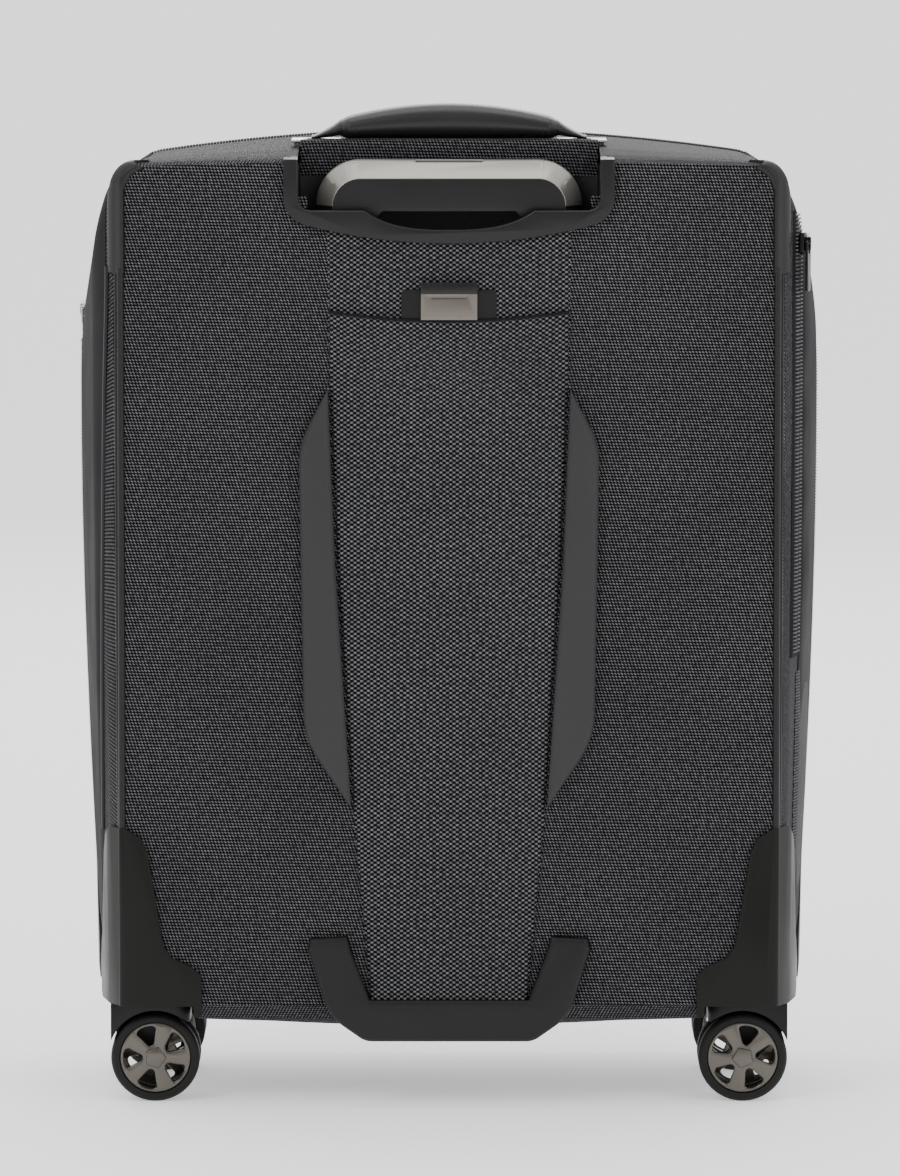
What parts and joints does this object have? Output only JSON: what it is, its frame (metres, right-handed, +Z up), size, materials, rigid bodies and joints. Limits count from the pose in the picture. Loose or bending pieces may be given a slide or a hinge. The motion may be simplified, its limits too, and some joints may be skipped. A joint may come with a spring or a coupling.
{
  "type": "softside upright suitcase",
  "caption": "Charcoal softside upright suitcase with a telescopic pull handle, padded top grip, side-hinged zipped lid, expander gusset and swivelling twin-wheel casters.",
  "frame": {"origin": "on the floor under the middle of the case, between the four casters", "axes": "+Z up; -Y faces the back panel with the pull handle, +Y the lid and its pockets; +X to the right when looking at the back panel"},
  "size_m": [0.4157, 0.202, 0.5486],
  "materials": {
    "shell_fabric": "woven ballistic nylon, charcoal",
    "panel_fabric": "coarser woven ballistic nylon, charcoal",
    "lining_fabric": "smooth woven lining",
    "frame_board": "thin stiffening board",
    "guard_plastic": "satin moulded plastic",
    "skid_plastic": "satin moulded plastic, dark grey",
    "bracket_plastic": "matte moulded plastic, black",
    "bezel_plastic": "satin black",
    "tube_metal": "anodised",
    "grip_metal": "gunmetal, satin",
    "button_metal": "gunmetal, satin",
    "leather_trim": "fine grain, charcoal",
    "piping_trim": "wrapped cord",
    "zip_coil": "spiral coil on woven tape",
    "zip_metal": "polished",
    "zip_black": "black",
    "tag_metal": "brushed, black band",
    "anchor_metal": "polished",
    "fork_plastic": "moulded plastic with a steel kingpin and axle",
    "tyre_rubber": "matte",
    "rim_metal": "gunmetal with bright edges",
    "screw_steel": "zinc plated"
  },
  "bodies": {
    "case": {"rear_cover": "shell_fabric", "rear_frame": "frame_board", "rear_lining": "lining_fabric", "back_board": "frame_board", "sleeve_panel": "panel_fabric", "skid_bars": "skid_plastic", "edge_piping": "piping_trim", "corner_wraps": "leather_trim", "rear_guards": "guard_plastic", "front_guards": "guard_plastic", "lift_bracket": "bracket_plastic", "handle_bezel": "bezel_plastic", "trolley_outer_tubes": "tube_metal", "handle_anchors": "anchor_metal", "side_pocket": "shell_fabric", "side_pocket_zip": "zip_coil", "expander_zip_rear": "zip_coil", "screws": "screw_steel"},
    "handle_stage_1": {"trolley_middle_tubes": "tube_metal"},
    "handle_stage_2": {"trolley_inner_tubes": "tube_metal", "trolley_grip": "grip_metal"},
    "handle_button": {"release_button": "button_metal"},
    "top_handle": {"carry_handle": "leather_trim"},
    "tag": {"address_tag": "tag_metal"},
    "front_section": {"front_cover": "shell_fabric", "front_frame": "frame_board", "expander_gusset": "lining_fabric", "expander_zip_front": "zip_coil", "main_zip_ring_side": "zip_coil", "lid_hinge_tape": "shell_fabric"},
    "lid": {"lid_cover": "shell_fabric", "lid_board": "frame_board", "main_zip_lid_side": "zip_coil", "front_pockets": "shell_fabric"},
    "upper_slider": {"main_slider_upper": "zip_metal"},
    "upper_pull": {"main_pull_upper": "zip_metal"},
    "lower_slider": {"main_slider_lower": "zip_metal"},
    "lower_pull": {"main_pull_lower": "zip_metal"},
    "pocket_slider": {"side_pocket_slider": "zip_black"},
    "pocket_pull": {"side_pocket_pull": "zip_black"},
    "rear_left_caster": {"rear_left_fork": "fork_plastic"},
    "rear_left_wheel_aft": {"rear_left_tyre_aft": "tyre_rubber", "rear_left_rim_aft": "rim_metal"},
    "rear_left_wheel_fore": {"rear_left_tyre_fore": "tyre_rubber", "rear_left_rim_fore": "rim_metal"},
    "rear_right_caster": {"rear_right_fork": "fork_plastic"},
    "rear_right_wheel_aft": {"rear_right_tyre_aft": "tyre_rubber", "rear_right_rim_aft": "rim_metal"},
    "rear_right_wheel_fore": {"rear_right_tyre_fore": "tyre_rubber", "rear_right_rim_fore": "rim_metal"},
    "front_left_caster": {"front_left_fork": "fork_plastic"},
    "front_left_wheel_aft": {"front_left_tyre_aft": "tyre_rubber", "front_left_rim_aft": "rim_metal"},
    "front_left_wheel_fore": {"front_left_tyre_fore": "tyre_rubber", "front_left_rim_fore": "rim_metal"},
    "front_right_caster": {"front_right_fork": "fork_plastic"},
    "front_right_wheel_aft": {"front_right_tyre_aft": "tyre_rubber", "front_right_rim_aft": "rim_metal"},
    "front_right_wheel_fore": {"front_right_tyre_fore": "tyre_rubber", "front_right_rim_fore": "rim_metal"}
  },
  "joints": [
    {"name": "handle_stage_1_slide", "type": "slide", "parent": "case", "child": "handle_stage_1", "axis": [0, 0, 1], "range_m": [0, 0.25]},
    {"name": "handle_stage_2_slide", "type": "slide", "parent": "handle_stage_1", "child": "handle_stage_2", "axis": [0, 0, 1], "range_m": [0, 0.24]},
    {"name": "handle_button_press", "type": "slide", "parent": "handle_stage_2", "child": "handle_button", "axis": [0, 0, -1], "range_m": [0, 0.003], "stiffness_N_per_m": 500, "springref_m": -0.002},
    {"name": "top_handle_lift", "type": "slide", "parent": "case", "child": "top_handle", "axis": [0, 0, 1], "range_m": [0, 0.01]},
    {"name": "tag_slide", "type": "slide", "parent": "case", "child": "tag", "axis": [0, 0, 1], "range_m": [0, 0.019]},
    {"name": "expander_slide", "type": "slide", "parent": "case", "child": "front_section", "axis": [0, 1, 0], "range_m": [0, 0.03]},
    {"name": "lid_hinge", "type": "hinge", "parent": "front_section", "child": "lid", "pos_m": [0.2065, 0.0745, 0.3], "axis": [0, 0, -1], "range_deg": [0, 165]},
    {"name": "upper_slider_slide", "type": "slide", "parent": "front_section", "child": "upper_slider", "axis": [-0.0178, 0, 0.9998], "range_m": [0, 0.035]},
    {"name": "upper_pull_hinge", "type": "hinge", "parent": "upper_slider", "child": "upper_pull", "pos_m": [-0.20709, 0.0747, 0.427], "axis": [0, 1, 0], "range_deg": [0, 150]},
    {"name": "lower_slider_slide", "type": "slide", "parent": "front_section", "child": "lower_slider", "axis": [0.0178, 0, -0.9998], "range_m": [0, 0.29]},
    {"name": "lower_pull_hinge", "type": "hinge", "parent": "lower_slider", "child": "lower_pull", "pos_m": [-0.20673, 0.0747, 0.407], "axis": [0, 1, 0], "range_deg": [0, 150]},
    {"name": "pocket_slider_slide", "type": "slide", "parent": "case", "child": "pocket_slider", "axis": [-0.0081, 0, -1], "range_m": [0, 0.215]},
    {"name": "pocket_pull_hinge", "type": "hinge", "parent": "pocket_slider", "child": "pocket_pull", "pos_m": [0.19579, -0.07786, 0.474], "axis": [-0.3042, -0.9526, 0], "range_deg": [0, 150]},
    {"name": "rear_left_swivel", "type": "hinge", "parent": "case", "child": "rear_left_caster", "pos_m": [-0.175, -0.062, 0.055], "axis": [0, 0, 1], "continuous": true},
    {"name": "rear_left_wheel_aft_spin", "type": "hinge", "parent": "rear_left_caster", "child": "rear_left_wheel_aft", "pos_m": [-0.162, -0.0723, 0.0245], "axis": [0, 1, 0], "continuous": true},
    {"name": "rear_left_wheel_fore_spin", "type": "hinge", "parent": "rear_left_caster", "child": "rear_left_wheel_fore", "pos_m": [-0.162, -0.0517, 0.0245], "axis": [0, 1, 0], "continuous": true},
    {"name": "rear_right_swivel", "type": "hinge", "parent": "case", "child": "rear_right_caster", "pos_m": [0.175, -0.062, 0.055], "axis": [0, 0, 1], "continuous": true},
    {"name": "rear_right_wheel_aft_spin", "type": "hinge", "parent": "rear_right_caster", "child": "rear_right_wheel_aft", "pos_m": [0.162, -0.0723, 0.0245], "axis": [0, 1, 0], "continuous": true},
    {"name": "rear_right_wheel_fore_spin", "type": "hinge", "parent": "rear_right_caster", "child": "rear_right_wheel_fore", "pos_m": [0.162, -0.0517, 0.0245], "axis": [0, 1, 0], "continuous": true},
    {"name": "front_left_swivel", "type": "hinge", "parent": "case", "child": "front_left_caster", "pos_m": [-0.175, 0.038, 0.055], "axis": [0, 0, 1], "continuous": true},
    {"name": "front_left_wheel_aft_spin", "type": "hinge", "parent": "front_left_caster", "child": "front_left_wheel_aft", "pos_m": [-0.162, 0.0277, 0.0245], "axis": [0, 1, 0], "continuous": true},
    {"name": "front_left_wheel_fore_spin", "type": "hinge", "parent": "front_left_caster", "child": "front_left_wheel_fore", "pos_m": [-0.162, 0.0483, 0.0245], "axis": [0, 1, 0], "continuous": true},
    {"name": "front_right_swivel", "type": "hinge", "parent": "case", "child": "front_right_caster", "pos_m": [0.175, 0.038, 0.055], "axis": [0, 0, 1], "continuous": true},
    {"name": "front_right_wheel_aft_spin", "type": "hinge", "parent": "front_right_caster", "child": "front_right_wheel_aft", "pos_m": [0.162, 0.0277, 0.0245], "axis": [0, 1, 0], "continuous": true},
    {"name": "front_right_wheel_fore_spin", "type": "hinge", "parent": "front_right_caster", "child": "front_right_wheel_fore", "pos_m": [0.162, 0.0483, 0.0245], "axis": [0, 1, 0], "continuous": true}
  ]
}
